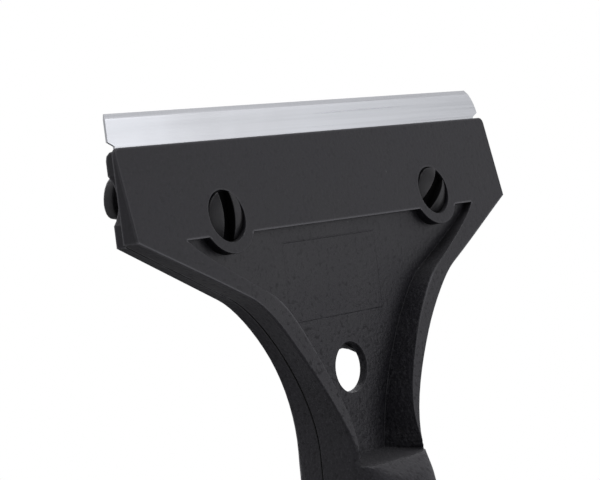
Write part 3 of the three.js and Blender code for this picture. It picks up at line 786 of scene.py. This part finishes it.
def makeBlade(s):
    middle = (s["top"] + s["foot"]) / 2
    heights = bladeEnd(s, 0.0)[1]
    ground = np.linspace(s["top"] - s["bevel"], s["top"], s["bevelSteps"]) - middle
    rise = np.unique(np.round(np.concatenate([heights, -heights, ground]), s["digits"]))
    taper = np.clip((rise + middle - (s["top"] - s["bevel"])) / s["bevel"], 0, 1)
    core = (s["front"] + s["back"]) / 2
    halfThick = (s["back"] - s["front"]) / 2
    thick = halfThick + (s["edge"] / 2 - halfThick) * taper
    loopRise = np.concatenate([rise, rise[::-1]])
    loopY = np.concatenate([core - thick, (core + thick)[::-1]])
    # the ends are a little shorter below the notch, so that they stay behind the front half
    footTop = s["shoulder"] + s["foot"] - middle
    shorter = np.where(loopRise < footTop + s["slack"], s["footTrim"], 0.0)
    right = bladeEnd(s, loopRise)[0] - shorter
    left = shorter - bladeEnd(s, -loopRise)[0]
    t = np.linspace(0, 1, s["columns"])[None, :]
    x = left[:, None] + (right - left)[:, None] * t + s["shift"]
    points = np.stack([x, loopY[:, None] + 0 * x, loopRise[:, None] + middle + 0 * x], axis=-1) * mm
    rows = len(loopRise)
    faces = gridFaces(rows, s["columns"], closeRows=True, closeColumns=False)
    i = np.arange(len(rise) - 1)
    back = rows - 1 - i
    for column in (0, s["columns"] - 1):
        ends = np.stack([i, i + 1, back - 1, back], axis=-1) * s["columns"] + column
        faces += ends.tolist()
    piece = addSurface("steel_blade", points, faces, bladeSteel, s["sharp"])
    ridePiece(piece, "blade")


makeBlade(bladeShape)
print("stage: blade")


# Screw: the domed head is a grid of chords across the slot, its rim falls to the seat, and the shank
# is a ring whose radius drops in a groove that climbs one pitch each turn

screwShape = {"places": {"left": (-28.3, 88.0), "right": (28.3, 43.0)}, "height": 182.5, "radius": 4.04,
              "rim": -2.47, "dome": 0.9, "slot": 2.6, "floor": -1.47, "seat": -1.12, "soft": 0.16,
              "shank": 2.4, "groove": 0.34, "pitch": 0.8, "vee": 2.6, "threadFrom": 0.9, "end": 10.34,
              "chamfer": 0.6, "chords": 26, "crowding": 0.8, "softSteps": 5, "farDown": 9, "across": 33,
              "rings": 150, "sharp": 40}


# how deep a thread's groove is at a level and an angle
def threadGroove(s, level, angle):
    share = (level / s["pitch"] + angle / (2 * np.pi)) % 1
    return s["groove"] * np.clip(1 - np.abs(share - 0.5) * s["vee"], 0, 1)


# rows across the slot: distance from its middle, and how far the surface drops at its soft edges
def slotRows(s):
    half = s["slot"] / 2
    spread = np.sin(np.linspace(0, 1, s["chords"]) * np.pi / 2) ** s["crowding"]
    outer = s["radius"] + (half + s["soft"] - s["radius"]) * spread
    bend = np.linspace(0, np.pi / 2, s["softSteps"])[1:]
    rows = np.concatenate([outer, half + s["soft"] * (1 - np.sin(bend)), [half, half / 2]])
    drop = np.concatenate([0 * outer, s["soft"] * (1 - np.cos(bend)), [s["farDown"], s["farDown"]]])
    return np.concatenate([-rows, [0], rows[::-1]]), np.concatenate([drop, [s["farDown"]], drop[::-1]])


def screwHead(s):
    rows, drop = slotRows(s)
    chord = np.sqrt(np.clip(s["radius"] ** 2 - rows ** 2, 0, None))
    a = chord[:, None] * np.sin(np.linspace(-1, 1, s["across"]) * np.pi / 2)[None, :]
    b = rows[:, None] + 0 * a
    apart = np.sqrt(a ** 2 + b ** 2) / s["radius"]
    y = s["rim"] - s["dome"] * (1 - apart ** 2) + drop[:, None]
    return np.stack([a, np.minimum(y, s["floor"]), b], axis=-1)


# rings of points down the shank, after one at the head's own radius
def screwShank(s, angle):
    levels = np.concatenate([[s["seat"]], np.linspace(s["seat"], s["end"], s["rings"])])
    tip = np.clip(levels - (s["end"] - s["chamfer"]), 0, None)
    started = np.clip((levels - s["threadFrom"]) / s["pitch"], 0, 1)
    groove = threadGroove(s, levels[:, None], angle[None, :]) * started[:, None]
    r = s["shank"] - np.maximum(groove, tip[:, None])
    r[0] = s["radius"]
    return np.stack([r * np.cos(angle), levels[:, None] + 0 * r, r * np.sin(angle)], axis=-1)


def makeScrew(side, s):
    x0, degrees = s["places"][side]
    turn = math.radians(degrees)
    head = screwHead(s)
    n, m = head.shape[:2]
    # the rim: down one side of the chords' ends and back up the other
    rim = np.concatenate([np.arange(n) * m + m - 1, (np.arange(n) * m)[::-1]])
    ring = head.reshape(-1, 3)[rim]
    shank = screwShank(s, np.arctan2(ring[:, 2], ring[:, 0]))
    count = len(rim)
    start = n * m
    j = np.arange(count)
    k = (j + 1) % count
    faces = gridFaces(n, m, closeColumns=False)
    faces += np.stack([rim[j], rim[k], start + k, start + j], axis=-1).tolist()
    faces += [[start + corner for corner in face] for face in gridFaces(len(shank), count)]
    faces.append((start + (len(shank) - 1) * count + j).tolist())
    across, y, up = np.concatenate([head.reshape(-1, 3), shank.reshape(-1, 3)]).T
    points = np.stack([across * math.cos(turn) - up * math.sin(turn) + x0, y,
                       across * math.sin(turn) + up * math.cos(turn) + s["height"]], axis=-1) * mm
    center = (x0 * mm, s["height"] * mm)
    slot = (turn, s["slot"] / 2 * mm, s["seat"] * mm)
    material = turnedMetal(side + "ScrewBlack", screwFinish, turnedShares, center, 0.0, slot)
    piece = addSurface(side + "_clamp_screw", points, faces, material, s["sharp"])
    ridePiece(piece, side + "_screw")


# Washer and sleeve: a rounded section (radius, depth) swept round the screw's axis

washerShape = {"inner": 2.75, "outer": 5.4, "low": 2.92, "high": 3.82, "round": 0.18, "roundSteps": 5,
               "spokes": 72, "sharp": 50}
sleeveShape = {"inner": 2.6, "outer": 3.5, "low": 3.94, "high": 8.34, "round": 0.15, "roundSteps": 5,
               "spokes": 72, "sharp": 50, "pitch": 0.8, "groove": 0.3, "vee": 2.6, "boreSteps": 90}


# the section's four rounded corners, from the outer high one past the bore to the outer low one
def roundedSection(s):
    a = np.linspace(0, np.pi / 2, s["roundSteps"])
    soft = s["round"]
    outer, inner = s["outer"] - soft, s["inner"] + soft
    high, low = s["high"] - soft, s["low"] + soft
    corners = []
    for quarter, (r, y) in enumerate(((outer, high), (inner, high), (inner, low), (outer, low))):
        turn = a + quarter * np.pi / 2
        corners.append(np.stack([r + soft * np.cos(turn), y + soft * np.sin(turn)], axis=-1))
    return np.concatenate(corners)


def makeRing(side, s, name, node, finish):
    x0 = screwShape["places"][side][0]
    section = roundedSection(s)
    threaded = "pitch" in s
    boreLow, boreHigh = s["low"] + s["round"], s["high"] - s["round"]
    if threaded:
        y = np.linspace(boreHigh, boreLow, s["boreSteps"])[1:-1]
        bore = np.stack([np.full(len(y), s["inner"]), y], axis=-1)
        half = len(section) // 2
        section = np.concatenate([section[:half], bore, section[half:]])
    angle = np.linspace(0, 2 * np.pi, s["spokes"], endpoint=False)
    r = section[:, 0][:, None] + 0 * angle
    y = section[:, 1][:, None] + 0 * angle
    if threaded:
        inBore = np.isclose(r, s["inner"]) & (y > boreLow) & (y < boreHigh)
        r = r + inBore * threadGroove(s, y, angle)
    points = np.stack([r * np.cos(angle) + x0, y, r * np.sin(angle) + screwShape["height"]], axis=-1) * mm
    center = (x0 * mm, screwShape["height"] * mm)
    material = turnedMetal(side + name.capitalize(), finish, turnedShares, center, 1.0)
    faces = gridFaces(len(section), s["spokes"], closeRows=True)
    piece = addSurface(side + "_nut_" + name, points, faces, material, s["sharp"])
    ridePiece(piece, side + node)


for side in ("left", "right"):
    makeScrew(side, screwShape)
    makeRing(side, washerShape, "washer", "_washer", zincFinish)
    makeRing(side, sleeveShape, "sleeve", "_nut_insert", brassFinish)
print("stage: screws, washers and sleeves")
